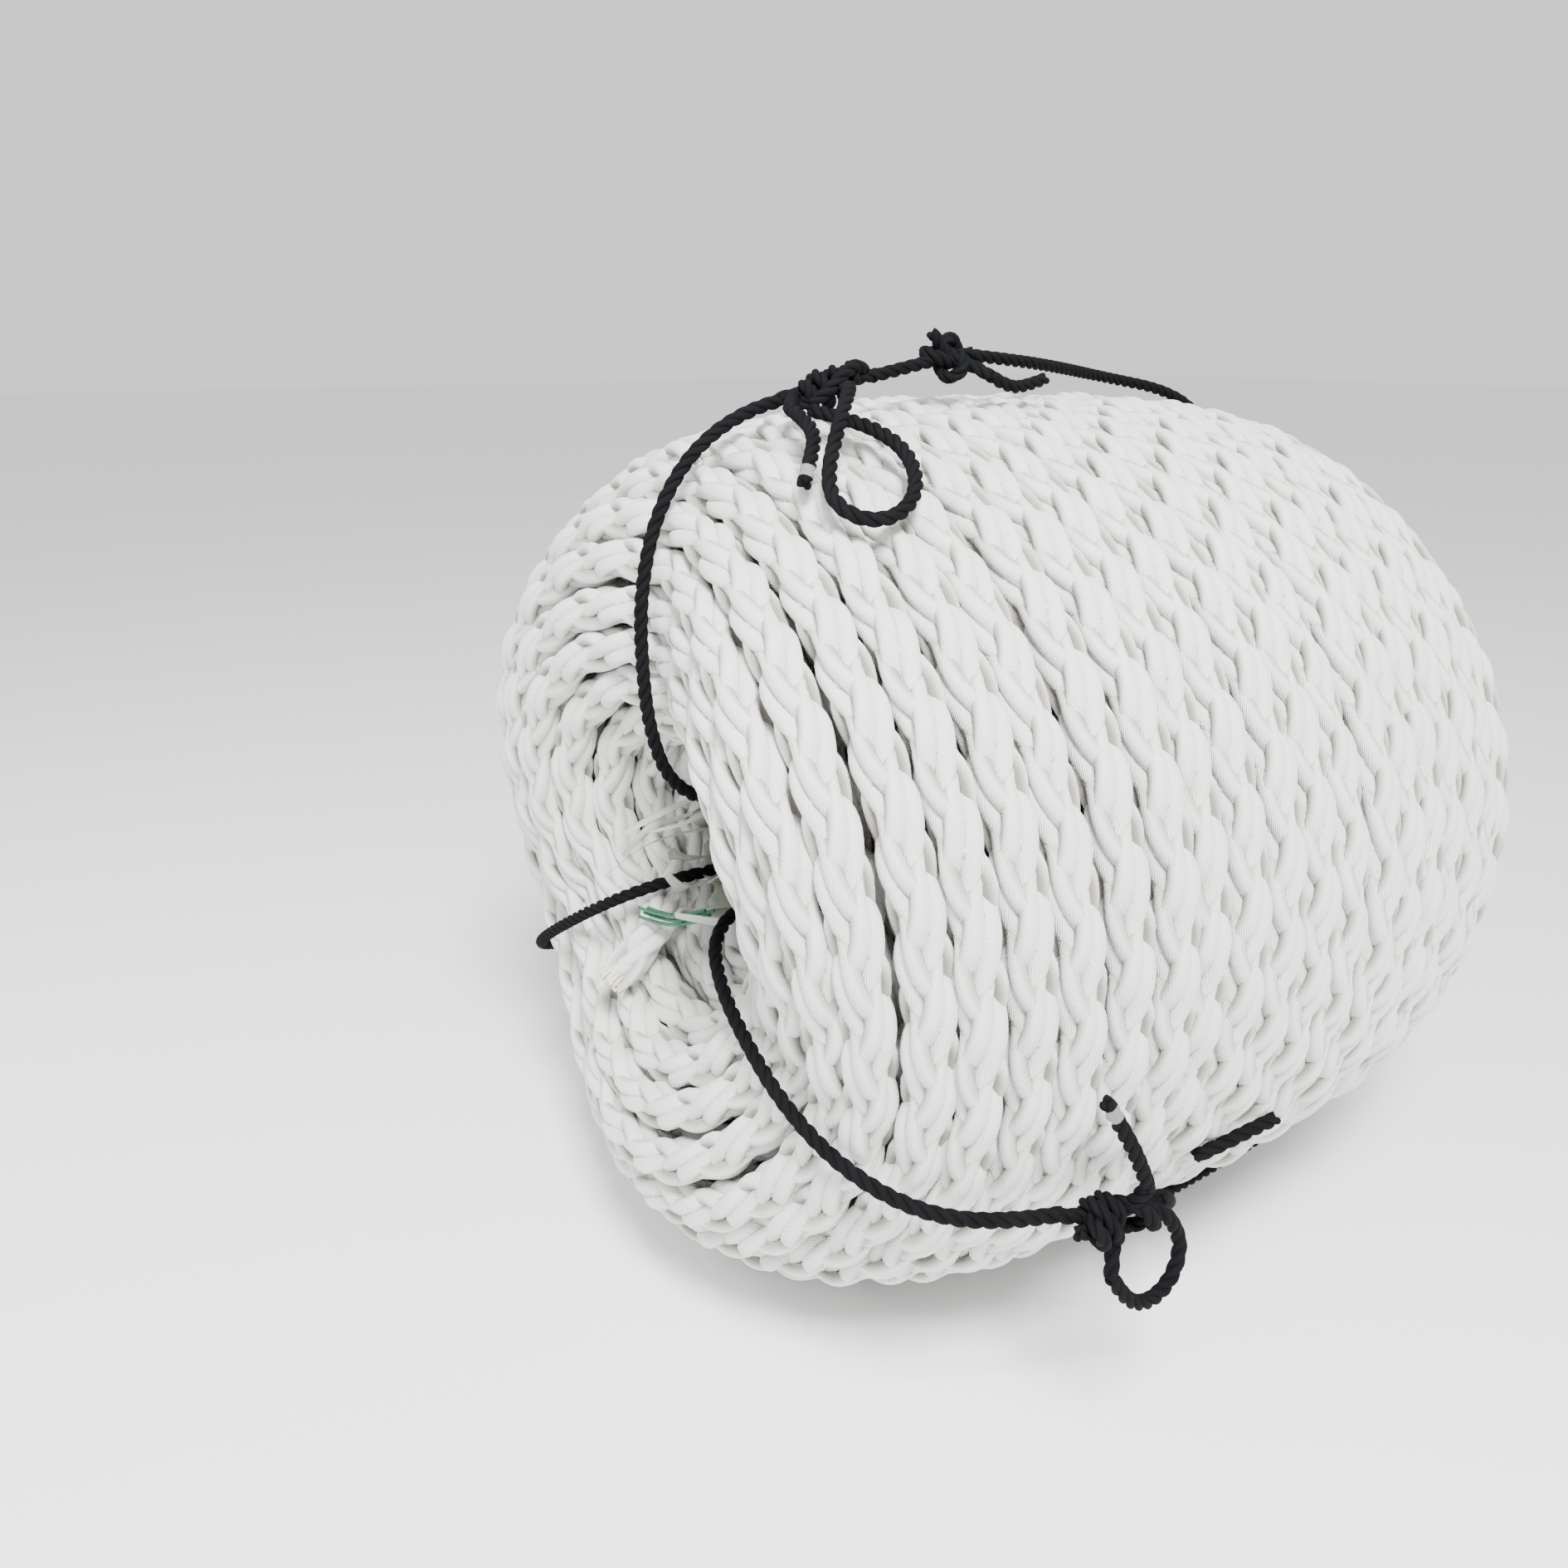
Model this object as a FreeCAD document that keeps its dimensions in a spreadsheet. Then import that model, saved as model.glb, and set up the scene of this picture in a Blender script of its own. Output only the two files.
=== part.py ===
# Coiled dock line: a thick eight-strand rope wound in layers into one big hollow bundle, lying on its
# side, with three laid tie cords drawn tight round it.
#
# Frame: +Z up, the floor at z = 0.  The bundle's axis is parallel to X, and the origin is the middle of
# the flat patch on which the bundle rests.  A tie's angle is counted from straight up, turning towards
# -Y; it may differ at the bundle's two ends.  A place on a tie is (x, distance from the axis).
# All lengths are in millimetres and all angles in degrees.
import FreeCAD, Part
import math
import os

Vector = FreeCAD.Vector
os.makedirs("parts", exist_ok=True)
doc = FreeCAD.newDocument("coiled_dock_line")

# ---------------------------------------------------------------- driving dimensions
SIZES = {
    "rope_diameter": 52,
    "coil_radius_lobe": 560,       # distance from the axis to the outer turns between two ties
    "coil_radius_tie": 540,        # the same where a tie pulls the turns in
    "coil_length_lobe": 1130,
    "coil_length_tie": 992,
    "coil_roundness_lobe": 2.3,    # exponent of the bundle's section: 2 is an ellipse, more is boxier
    "coil_roundness_tie": 3.8,
    "hole_radius": 92,
    "axis_height": 535,            # less than the radius: the weight presses a flat on the underside
    "tie_diameter": 16,
    "tie_angle_top": 5,            # at the -X end
    "tie_angle_front": 112,
    "tie_angle_back": 237,
    "tie_slant_top": -11,          # how much further round the tie lies at the +X end
    "tie_slant_front": 36,
    "tie_slant_back": 0,
    "slant_start_top": 0,          # where, along X, the slant starts
    "slant_start_front": -200,
    "slant_start_back": 0,
    "slant_span": 240,
    "knot_clearance": 1,           # gap left between a knot and a cord that runs into it
    "slip_knot_radius": 27,
    "slip_knot_length": 128,
    "joining_knot_radius": 31,
    "joining_knot_length": 60,
    "front_knot_radius": 33,
    "front_knot_length": 104,
    "tape_gap": 0.2,
    "tape_thickness": 0.9,
    "tail_tape_length": 17,
    "rope_tape_length": 40,
    "twine_diameter": 5,
    "film_outer_radius": 89,
    "film_thickness": 1.5,
    "film_length": 320,
}
sheet = doc.addObject("Spreadsheet::Sheet", "sizes")
for row, (name, number) in enumerate(SIZES.items(), start=1):
    sheet.set("A%d" % row, name)
    sheet.set("B%d" % row, str(number))
    sheet.setAlias("B%d" % row, name)
doc.recompute()


def size(name):
    """The value of a named cell of the sheet."""
    return float(sheet.get(name))


AXIS_HEIGHT = size("axis_height")
TIES = ["top", "front", "back"]
subparts = []


def keep(feature, name):
    """Register a finished sub-part under the name of its file."""
    feature.Label = name
    subparts.append(feature)
    return feature


def tie_angle(tie, x):
    """Where round the bundle a tie lies at x."""
    share = (x - size("slant_start_" + tie)) / size("slant_span")
    share = min(max(share, 0.0), 1.0)
    share = share * share * (3.0 - 2.0 * share)
    return size("tie_angle_" + tie) + size("tie_slant_" + tie) * share


def around(angle, x, distance):
    """The point at x and at a distance from the bundle's axis, in the direction of an angle."""
    turn = math.radians(angle)
    return Vector(x, -distance * math.sin(turn), AXIS_HEIGHT + distance * math.cos(turn))


# ---------------------------------------------------------------- the bundle
def lobe_share(angle, x):
    """0 where a tie crosses, rising to 1 midway between two ties."""
    stops = sorted(tie_angle(tie, x) for tie in TIES)
    turned = (angle - stops[0]) % 360.0
    starts = [stop - stops[0] for stop in stops] + [360.0]
    for low, high in zip(starts, starts[1:]):
        if low <= turned <= high:
            return math.sin(math.pi * (turned - low) / (high - low))
    return 0.0


def bundle_point(angle, section_angle):
    """A point of the bundle's skin: the section is a rounded box that swells between the ties."""
    cosine = math.cos(section_angle)
    sine = math.sin(section_angle)
    share = lobe_share(angle, size("coil_length_tie") / 2 * sine)

    def mix(kind):
        return size(kind + "_tie") + (size(kind + "_lobe") - size(kind + "_tie")) * share

    outer = mix("coil_radius")
    inner = size("hole_radius")
    power = 2.0 / mix("coil_roundness")
    distance = (outer + inner) / 2 + (outer - inner) / 2 * math.copysign(abs(cosine) ** power, cosine)
    x = mix("coil_length") / 2 * math.copysign(abs(sine) ** power, sine)
    return around(angle, x, distance)


def closed_skin(columns, rows):
    """The bundle's skin as one smooth surface, closed both round the axis and round its section."""
    poles = []
    for column in range(columns):
        angle = 360.0 * column / columns
        poles.append([bundle_point(angle, 2 * math.pi * row / rows) for row in range(rows)])
    surface = Part.BSplineSurface()
    surface.buildFromPolesMultsKnots(
        poles, [1] * (columns + 1), [1] * (rows + 1),
        list(range(columns + 1)), list(range(rows + 1)), True, True, 3, 3)
    solid = Part.Solid(Part.Shell([surface.toShape()]))
    if solid.Volume < 0:
        solid.reverse()
    return solid


bundle_skin = doc.addObject("Part::Feature", "bundle_skin")
bundle_skin.Shape = closed_skin(columns=36, rows=24)
ground = doc.addObject("Part::Box", "ground")
ground.setExpression("Length", "sizes.coil_length_lobe * 2")
ground.setExpression("Width", "sizes.coil_radius_lobe * 4")
ground.setExpression("Height", "sizes.coil_radius_lobe")
ground.Placement = FreeCAD.Placement(
    Vector(-size("coil_length_lobe"), -2 * size("coil_radius_lobe"), -size("coil_radius_lobe")),
    FreeCAD.Rotation())
coil = doc.addObject("Part::Cut", "coil")
coil.Base = bundle_skin
coil.Tool = ground
keep(coil, "rope_coil")
doc.recompute()


# ---------------------------------------------------------------- tubes, rods and sleeves
def rounded_path(points):
    """Straight runs joined by tangent arcs, each as large as its two runs allow, and the arc radii."""
    edges = []
    radii = []
    start = points[0]
    for before, corner, after in zip(points, points[1:], points[2:]):
        back = before - corner
        ahead = after - corner
        turn = math.pi - back.getAngle(ahead)
        reach = 0.45 * min(back.Length, ahead.Length)
        back.normalize()
        ahead.normalize()
        radius = reach / math.tan(turn / 2)
        entry = corner + back * reach
        leave = corner + ahead * reach
        middle_way = back + ahead
        middle_way.normalize()
        middle = corner + middle_way * (math.hypot(radius, reach) - radius)
        edges.append(Part.LineSegment(start, entry).toShape())
        edges.append(Part.Arc(entry, middle, leave).toShape())
        radii.append(radius)
        start = leave
    edges.append(Part.LineSegment(start, points[-1]).toShape())
    return Part.Wire(edges), radii


def cord_tube(name, points, diameter_cell):
    """A round cord swept along a route of runs and arcs; its volume is compared with its length."""
    wire, radii = rounded_path(points)
    route = doc.addObject("Part::Feature", name + "_route")
    route.Shape = wire
    section = doc.addObject("Part::Circle", name + "_section")
    section.setExpression("Radius", "sizes.%s / 2" % diameter_cell)
    heading = FreeCAD.Rotation(Vector(0, 0, 1), points[1] - points[0])
    section.Placement = FreeCAD.Placement(points[0], heading)
    tube = doc.addObject("Part::Sweep", name)
    tube.Sections = [section]
    tube.Spine = (route, ["Edge%d" % (number + 1) for number in range(len(wire.Edges))])
    tube.Solid = True
    tube.Frenet = False
    doc.recompute()
    expected = math.pi * (size(diameter_cell) / 2) ** 2 * wire.Length
    share = tube.Shape.Volume / expected
    tightest = "straight" if not radii else "%.0f" % min(radii)
    print("%-26s length %6.0f  tightest arc %s  volume share %.4f" % (name, wire.Length, tightest, share))
    if abs(share - 1) > 0.01:
        raise ValueError(name + " has not the volume of its length")
    return keep(tube, name)


def rod(name, start, end, radius_cell, extra=0.0):
    """A round rod between two points, its radius bound to the sheet."""
    piece = doc.addObject("Part::Cylinder", name)
    piece.setExpression("Radius", "sizes.%s + %s" % (radius_cell, extra))
    piece.Height = (end - start).Length
    piece.Placement = FreeCAD.Placement(start, FreeCAD.Rotation(Vector(0, 0, 1), end - start))
    return piece


def sleeve(name, start, end, radius_cell):
    """A tape wound round a cord: a thin sleeve that just clears it."""
    outer = rod(name + "_outside", start, end, radius_cell, "sizes.tape_gap + sizes.tape_thickness")
    inner = rod(name + "_inside", start, end, radius_cell, "sizes.tape_gap")
    wrap = doc.addObject("Part::Cut", name)
    wrap.Base = outer
    wrap.Tool = inner
    return keep(wrap, name)


def knot(name, centre, heading, radius_cell, length_cell, softness):
    """A knot's outer shape: a short fat rod with its two end edges rounded."""
    core = doc.addObject("Part::Cylinder", name + "_core")
    core.setExpression("Radius", "sizes." + radius_cell)
    core.setExpression("Height", "sizes." + length_cell)
    half = size(length_cell) / 2
    heading.normalize()
    core.Placement = FreeCAD.Placement(centre - heading * half, FreeCAD.Rotation(Vector(0, 0, 1), heading))
    doc.recompute()
    rounded = doc.addObject("Part::Fillet", name)
    rounded.Base = core
    rims = [number + 1 for number, edge in enumerate(core.Shape.Edges) if len(edge.Vertexes) == 1]
    rounded.Edges = [(number, softness, softness) for number in rims]
    return keep(rounded, name)


def tail_tape(name, points):
    """The tape near the cut end of a tie's tail: a sleeve on the tail's last straight run."""
    heading = points[-1] - points[-2]
    heading.normalize()
    end = points[-1] - heading * 4
    return sleeve(name, end - heading * size("tail_tape_length"), end, "tie_diameter / 2")


# ---------------------------------------------------------------- routes of the tie cords
# One end of the bundle, from the flank over the rim, down the end face and into the hole, as
# (distance from the middle of the bundle, distance from the axis).
END_BEND = [(395, 541), (464, 497), (505, 427), (520, 345), (517, 264), (506, 184), (478, 112), (410, 72)]


def tie_loop(tie, first, last):
    """A tie's route: from its knot over one end, through the hole, over the other end and back."""
    left = [(-x, distance) for x, distance in END_BEND]
    right = list(reversed(END_BEND))
    return [around(tie_angle(tie, x), x, distance) for x, distance in first + left + right + last]


CLEAR = size("knot_clearance")

# top tie: a long slip knot near the left end, a straight bridge and a round joining knot
TOP = size("tie_angle_top")
slip_centre = around(TOP, -285, 562)
joining_centre = around(TOP, -120, 594)
bridge_heading = joining_centre - slip_centre
bridge_heading.normalize()
slip_reach = bridge_heading * (size("slip_knot_length") / 2 + CLEAR)
joining_reach = bridge_heading * (size("joining_knot_length") / 2 + CLEAR)
knot("tie_top_slip_knot", slip_centre, bridge_heading, "slip_knot_radius", "slip_knot_length", 12)
knot("tie_top_joining_knot", joining_centre, bridge_heading, "joining_knot_radius",
     "joining_knot_length", 16)
cord_tube("tie_top_bridge", [slip_centre + slip_reach, joining_centre - joining_reach], "tie_diameter")
cord_tube("tie_top", tie_loop(
    "top", [(-351, 549)],
    [(250, 564), (90, 578), (-20, 590), (-84, 596)]), "tie_diameter")
cord_tube("tie_top_joining_tail", [
    Vector(-86, -92, 1106), Vector(-58, -92, 1092), Vector(-22, -84, 1092), Vector(14, -78, 1100)],
    "tie_diameter")
cord_tube("tie_top_slip_loop", [
    Vector(-288, -88, 1094), Vector(-312, -126, 1100), Vector(-344, -164, 1086), Vector(-380, -198, 1054),
    Vector(-410, -228, 1022), Vector(-424, -256, 997), Vector(-410, -284, 981), Vector(-378, -296, 982),
    Vector(-346, -286, 999), Vector(-326, -260, 1022), Vector(-318, -226, 1043), Vector(-322, -186, 1058),
    Vector(-330, -142, 1067), Vector(-338, -92, 1073)], "tie_diameter")
TOP_TAIL = [Vector(-366, -90, 1076), Vector(-374, -128, 1068), Vector(-384, -166, 1054),
            Vector(-408, -196, 1034), Vector(-434, -222, 1011)]
cord_tube("tie_top_tail", TOP_TAIL, "tie_diameter")
tail_tape("tie_top_tail_tape", TOP_TAIL)

# front tie: its slip knot low on the near side, the bight hanging from it
FRONT = size("tie_angle_front")
knot("tie_front_slip_knot", around(FRONT, -270, 580), Vector(1, 0, 0), "front_knot_radius",
     "front_knot_length", 15)
cord_tube("tie_front", tie_loop(
    "front", [(-325, 558)],
    [(250, 560), (0, 562), (-130, 574), (-212, 584)]), "tie_diameter")
cord_tube("tie_front_slip_loop", [
    Vector(-292, -556, 266), Vector(-280, -560, 244), Vector(-258, -560, 222), Vector(-226, -556, 212),
    Vector(-196, -552, 222), Vector(-182, -548, 250), Vector(-192, -546, 278), Vector(-211, -551, 299)],
    "tie_diameter")
FRONT_TAIL = [Vector(-262, -566, 362), Vector(-280, -570, 396), Vector(-302, -570, 434),
              Vector(-330, -568, 478)]
cord_tube("tie_front_tail", FRONT_TAIL, "tie_diameter")
tail_tape("tie_front_tail_tape", FRONT_TAIL)
cord_tube("tie_front_second_tail", [
    Vector(-62, -524, 286), Vector(-30, -534, 298), Vector(4, -538, 302)], "tie_diameter")

# back tie: the same slip knot, bight and tail on the far side
BACK = size("tie_angle_back")
knot("tie_back_slip_knot", around(BACK, 60, 578), Vector(1, 0, 0), "slip_knot_radius",
     "slip_knot_length", 12)
cord_tube("tie_back", tie_loop(
    "back", [(-5, 574), (-120, 562), (-270, 560)],
    [(270, 560), (180, 568), (125, 574)]), "tie_diameter")
cord_tube("tie_back_slip_loop", [
    Vector(38, 506, 180), Vector(26, 500, 150), Vector(36, 486, 118), Vector(64, 474, 98),
    Vector(98, 476, 104), Vector(116, 488, 130), Vector(110, 500, 162), Vector(96, 508, 186)],
    "tie_diameter")
BACK_TAIL = [Vector(84, 534, 248), Vector(96, 560, 276), Vector(112, 576, 312), Vector(124, 582, 352)]
cord_tube("tie_back_tail", BACK_TAIL, "tie_diameter")
tail_tape("tie_back_tail_tape", BACK_TAIL)


# ---------------------------------------------------------------- the rope's two ends
def rope_end(name, inside, outside):
    """A cut end of the rope that stands out of the bundle, with a tape bound round it."""
    heading = outside - inside
    heading.normalize()
    whole = rod(name + "_whole", inside, outside, "rope_diameter / 2", "-4")
    stub = doc.addObject("Part::Cut", name)
    stub.Base = whole
    stub.Tool = coil
    keep(stub, name)
    tape_end = outside - heading * 8
    tape = rod(name + "_tape_whole", tape_end - heading * size("rope_tape_length"), tape_end,
               "rope_diameter / 2", "-4 + sizes.tape_gap + sizes.tape_thickness")
    bore = rod(name + "_tape_bore", tape_end - heading * size("rope_tape_length"), tape_end,
               "rope_diameter / 2", "-4 + sizes.tape_gap")
    wrap = doc.addObject("Part::Cut", name + "_tape_sleeve")
    wrap.Base = tape
    wrap.Tool = bore
    clear_wrap = doc.addObject("Part::Cut", name + "_tape")
    clear_wrap.Base = wrap
    clear_wrap.Tool = coil
    return keep(clear_wrap, name + "_tape")


rope_end("rope_inner_end", Vector(-420, 66, 442), Vector(-520, 78, 372))
rope_end("rope_outer_end", Vector(370, 462, 610), Vector(475, 484, 742))

# ---------------------------------------------------------------- what lies in the hole
FILM_MOUTH = around(0, -365, 0)
FILM_END = FILM_MOUTH + Vector(size("film_length"), 0, 0)
film = rod("core_film_outside", FILM_MOUTH, FILM_END, "film_outer_radius")
film_bore = rod("core_film_inside", FILM_MOUTH, FILM_END, "film_outer_radius", "-sizes.film_thickness")
core_film = doc.addObject("Part::Cut", "core_film")
core_film.Base = film
core_film.Tool = film_bore
keep(core_film, "core_film")
cord_tube("core_twine", [
    Vector(-478, 68, 456), Vector(-468, 36, 456), Vector(-454, 2, 464), Vector(-438, -30, 480)],
    "twine_diameter")

# ---------------------------------------------------------------- checks and files
doc.recompute()
for item in doc.Objects:
    if "Invalid" in item.State or "Error" in item.State:
        raise ValueError("%s failed: %s" % (item.Label, item.State))
for item in subparts:
    shape = item.Shape
    if shape.isNull() or not shape.isValid() or not shape.Solids:
        raise ValueError(item.Label + " has no valid solid")
for item in subparts:
    item.Shape.exportStep(os.path.join("parts", item.Label + ".step"))
print("%d sub-parts written" % len(subparts))
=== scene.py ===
import math

import bpy
import numpy as np
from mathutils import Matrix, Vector


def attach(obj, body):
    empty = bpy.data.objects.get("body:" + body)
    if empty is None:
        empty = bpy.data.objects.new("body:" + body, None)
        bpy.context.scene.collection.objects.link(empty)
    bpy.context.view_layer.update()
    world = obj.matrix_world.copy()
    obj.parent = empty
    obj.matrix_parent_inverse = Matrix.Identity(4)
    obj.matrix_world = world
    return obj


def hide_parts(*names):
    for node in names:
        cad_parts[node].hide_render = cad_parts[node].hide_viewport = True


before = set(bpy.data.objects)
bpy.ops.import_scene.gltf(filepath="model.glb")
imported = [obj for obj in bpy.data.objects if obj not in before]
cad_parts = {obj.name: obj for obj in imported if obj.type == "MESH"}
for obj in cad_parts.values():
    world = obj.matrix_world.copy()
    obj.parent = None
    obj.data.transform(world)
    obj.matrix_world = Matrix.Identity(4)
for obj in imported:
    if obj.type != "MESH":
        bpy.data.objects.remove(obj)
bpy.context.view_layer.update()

ROPE_DIAMETER = 0.052
AXIS_HEIGHT = 0.535
HOLE_RADIUS = 0.092
STRAND_HALF_WIDTH = 0.0102
STRAND_HALF_THICKNESS = 0.0087
STRAND_GIRTH = 2.0 * math.pi * math.sqrt(STRAND_HALF_WIDTH * STRAND_HALF_THICKNESS)
TIE_DIAMETER = 0.016
TWINE_DIAMETER = 0.005
# Where round the coil each tie lies at the -X end, how much further round it lies at the +X end, and
# where along X that slant starts.
TIES = {"top": (5.0, -11.0, 0.0), "front": (112.0, 36.0, -0.200), "back": (237.0, 0.0, 0.0)}
SLANT_SPAN = 0.240
# A direction that no cord here runs in, to start a direction across one from.
SKEW = (0.31, 0.47, 0.83)
# The coil's section where a tie crosses it and midway between two ties.
SECTION_AT_TIE = {"radius": 0.540, "length": 0.992, "roundness": 3.8}
SECTION_AT_LOBE = {"radius": 0.560, "length": 1.130, "roundness": 2.3}


# ---------------------------------------------------------------- small helpers
def unit(vectors):
    """Each row of an array divided by its length."""
    return vectors / np.maximum(np.linalg.norm(vectors, axis=-1, keepdims=True), 1e-12)


def smooth_step(value):
    """0 below 0 and 1 above 1, with a smooth turn between."""
    value = np.clip(value, 0.0, 1.0)
    return value * value * (3.0 - 2.0 * value)


def signed_power(value, power):
    """A power of the value's size, with the value's sign."""
    return np.sign(value) * np.abs(value) ** power


def around(angle, x, distance):
    """The point at x and at a distance from the coil's axis, in the direction of an angle."""
    turn = math.radians(angle)
    return (x, -distance * math.sin(turn), AXIS_HEIGHT + distance * math.cos(turn))


def tie_angle(tie, x):
    """Where round the coil a tie lies at x."""
    start_angle, slant, slant_start = TIES[tie]
    return start_angle + slant * smooth_step((x - slant_start) / SLANT_SPAN)


def spline_line(points, resolution):
    """Points along the smooth NURBS spline that has these control points."""
    curve = bpy.data.curves.new("route", "CURVE")
    curve.dimensions = "3D"
    curve.resolution_u = resolution
    spline = curve.splines.new("NURBS")
    spline.points.add(len(points) - 1)
    flat = np.ones((len(points), 4), np.float32)
    flat[:, :3] = points
    spline.points.foreach_set("co", flat.ravel())
    spline.order_u = 3
    spline.use_endpoint_u = True
    holder = bpy.data.objects.new("route", curve)
    mesh = bpy.data.meshes.new_from_object(holder)
    line = np.zeros(len(mesh.vertices) * 3, np.float32)
    mesh.vertices.foreach_get("co", line)
    bpy.data.objects.remove(holder)
    bpy.data.curves.remove(curve)
    bpy.data.meshes.remove(mesh)
    return line.reshape(-1, 3).astype(float)


def lengths_along(line):
    """The distance from the line's start to each of its points."""
    steps = np.linalg.norm(np.diff(line, axis=0), axis=1)
    return np.concatenate([[0.0], np.cumsum(steps)])


def at_lengths(line, along, wanted):
    """The line's places at the wanted distances from its start."""
    return np.stack([np.interp(wanted, along, line[:, k]) for k in range(3)], axis=1)


def slow_noise(rng, values, wavelength):
    """Smooth noise of about unit size, the same for the same generator state."""
    knots = np.arange(values.min() - wavelength, values.max() + 2.0 * wavelength, wavelength)
    heights = rng.uniform(-1.0, 1.0, len(knots))
    place = (values - knots[0]) / wavelength
    low = np.clip(np.floor(place).astype(int), 0, len(knots) - 2)
    return heights[low] + (heights[low + 1] - heights[low]) * smooth_step(place - low)


def tube_arrays(centres, across, outward, half_width, half_thickness, sides):
    """A closed tube of elliptical section: its points, quads, end caps, and its quads' UVs in metres
    along the tube and round it."""
    count = len(centres)
    turn = 2.0 * math.pi * np.arange(sides) / sides
    ring = (across[:, None, :] * (half_width[:, None] * np.sin(turn))[:, :, None]
            - outward[:, None, :] * (half_thickness[:, None] * np.cos(turn))[:, :, None])
    verts = (centres[:, None, :] + ring).reshape(-1, 3)
    row = np.arange(count - 1)[:, None] * sides
    here = np.arange(sides)[None, :]
    after = (here + 1) % sides
    quads = np.stack([row + here, row + sides + here, row + sides + after, row + after], axis=-1)
    along = lengths_along(centres)
    girth = 2.0 * math.pi * math.sqrt(float(half_width.mean() * half_thickness.mean()))
    u_low = np.repeat(along[:-1], sides)
    u_high = np.repeat(along[1:], sides)
    v_low = np.tile(girth * np.arange(sides) / sides, count - 1)
    v_high = v_low + girth / sides
    corner_uv = np.stack([
        np.stack([u_low, v_low], 1), np.stack([u_high, v_low], 1),
        np.stack([u_high, v_high], 1), np.stack([u_low, v_high], 1)], axis=1)
    caps = [np.arange(sides), (count - 1) * sides + np.arange(sides)[::-1]]
    return verts, quads.reshape(-1, 4), caps, corner_uv.reshape(-1, 2)


def mesh_object(name, tubes, material):
    """One smooth-shaded mesh object made of several tubes."""
    verts = np.concatenate([tube[0] for tube in tubes])
    starts = np.cumsum([0] + [len(tube[0]) for tube in tubes[:-1]])
    quads = np.concatenate([tube[1] + start for tube, start in zip(tubes, starts)])
    caps = [cap + start for tube, start in zip(tubes, starts) for cap in tube[2]]
    corner_uv = np.concatenate([tube[3] for tube in tubes])
    loops = np.concatenate([quads.ravel()] + caps).astype(np.int32)
    totals = np.concatenate([np.full(len(quads), 4), [len(cap) for cap in caps]]).astype(np.int32)
    mesh = bpy.data.meshes.new(name)
    mesh.vertices.add(len(verts))
    mesh.vertices.foreach_set("co", verts.astype(np.float32).ravel())
    mesh.loops.add(len(loops))
    mesh.loops.foreach_set("vertex_index", loops)
    mesh.polygons.add(len(totals))
    mesh.polygons.foreach_set("loop_start", np.concatenate([[0], np.cumsum(totals)[:-1]]).astype(np.int32))
    mesh.polygons.foreach_set("use_smooth", np.ones(len(totals), bool))
    uv = np.zeros((len(loops), 2), np.float32)
    uv[:len(corner_uv)] = corner_uv
    layer = mesh.uv_layers.new(name="yarn")
    layer.data.foreach_set("uv", uv.ravel())
    mesh.update(calc_edges=True)
    mesh.materials.append(material)
    made = bpy.data.objects.new(name, mesh)
    bpy.context.scene.collection.objects.link(made)
    return made


# ---------------------------------------------------------------- materials
LAID_YARN_LEAN = -32.0             # degrees by which the yarns lean in the laid cords


def new_material(name, colour, roughness):
    """A material with its principled shader's plain values set."""
    material = bpy.data.materials.new(name)
    material.use_nodes = True
    shader = material.node_tree.nodes["Principled BSDF"]
    shader.inputs["Base Color"].default_value = (*colour, 1.0)
    shader.inputs["Roughness"].default_value = roughness
    return material, shader


def math_node(tree, operation, first, second):
    """A maths node whose two inputs are sockets or plain numbers."""
    node = tree.nodes.new("ShaderNodeMath")
    node.operation = operation
    for socket, value in zip(node.inputs, (first, second)):
        if isinstance(value, (int, float)):
            socket.default_value = value
        else:
            tree.links.new(value, socket)
    return node.outputs[0]


def yarn_place(tree):
    """How far along a cord and how far round it a point lies, in metres."""
    place = tree.nodes.new("ShaderNodeUVMap")
    place.uv_map = "yarn"
    split = tree.nodes.new("ShaderNodeSeparateXYZ")
    tree.links.new(place.outputs["UV"], split.inputs[0])
    return split.outputs[0], split.outputs[1]


def yarn_height(tree, lean, pitch):
    """Ridges of twisted yarn over a cord: they lean from the cord's own direction by an angle."""
    along, round_it = yarn_place(tree)
    turn = math.radians(lean)
    across = math_node(tree, "ADD",
                       math_node(tree, "MULTIPLY", along, -math.sin(turn) * 2.0 * math.pi / pitch),
                       math_node(tree, "MULTIPLY", round_it, math.cos(turn) * 2.0 * math.pi / pitch))
    wave = math_node(tree, "SINE", math_node(tree, "MULTIPLY", across, 0.5), 0.0)
    return math_node(tree, "ABSOLUTE", wave, 0.0)


def noise_factor(tree, scale, detail):
    """A noise texture's value in the object's own space."""
    place = tree.nodes.new("ShaderNodeTexCoord")
    noise = tree.nodes.new("ShaderNodeTexNoise")
    noise.inputs["Scale"].default_value = scale
    noise.inputs["Detail"].default_value = detail
    tree.links.new(place.outputs["Object"], noise.inputs["Vector"])
    return noise.outputs["Fac"]


def mixed_colour(tree, factor, low, high):
    """A colour that runs from low to high with a factor."""
    ramp = tree.nodes.new("ShaderNodeValToRGB")
    ramp.color_ramp.elements[0].color = (*low, 1.0)
    ramp.color_ramp.elements[1].color = (*high, 1.0)
    tree.links.new(factor, ramp.inputs[0])
    return ramp.outputs["Color"]


def bumped(tree, shader, height, distance, strength):
    """Gives the shader a bump of that depth."""
    bump = tree.nodes.new("ShaderNodeBump")
    bump.inputs["Strength"].default_value = strength
    bump.inputs["Distance"].default_value = distance
    tree.links.new(height, bump.inputs["Height"])
    tree.links.new(bump.outputs["Normal"], shader.inputs["Normal"])


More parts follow.
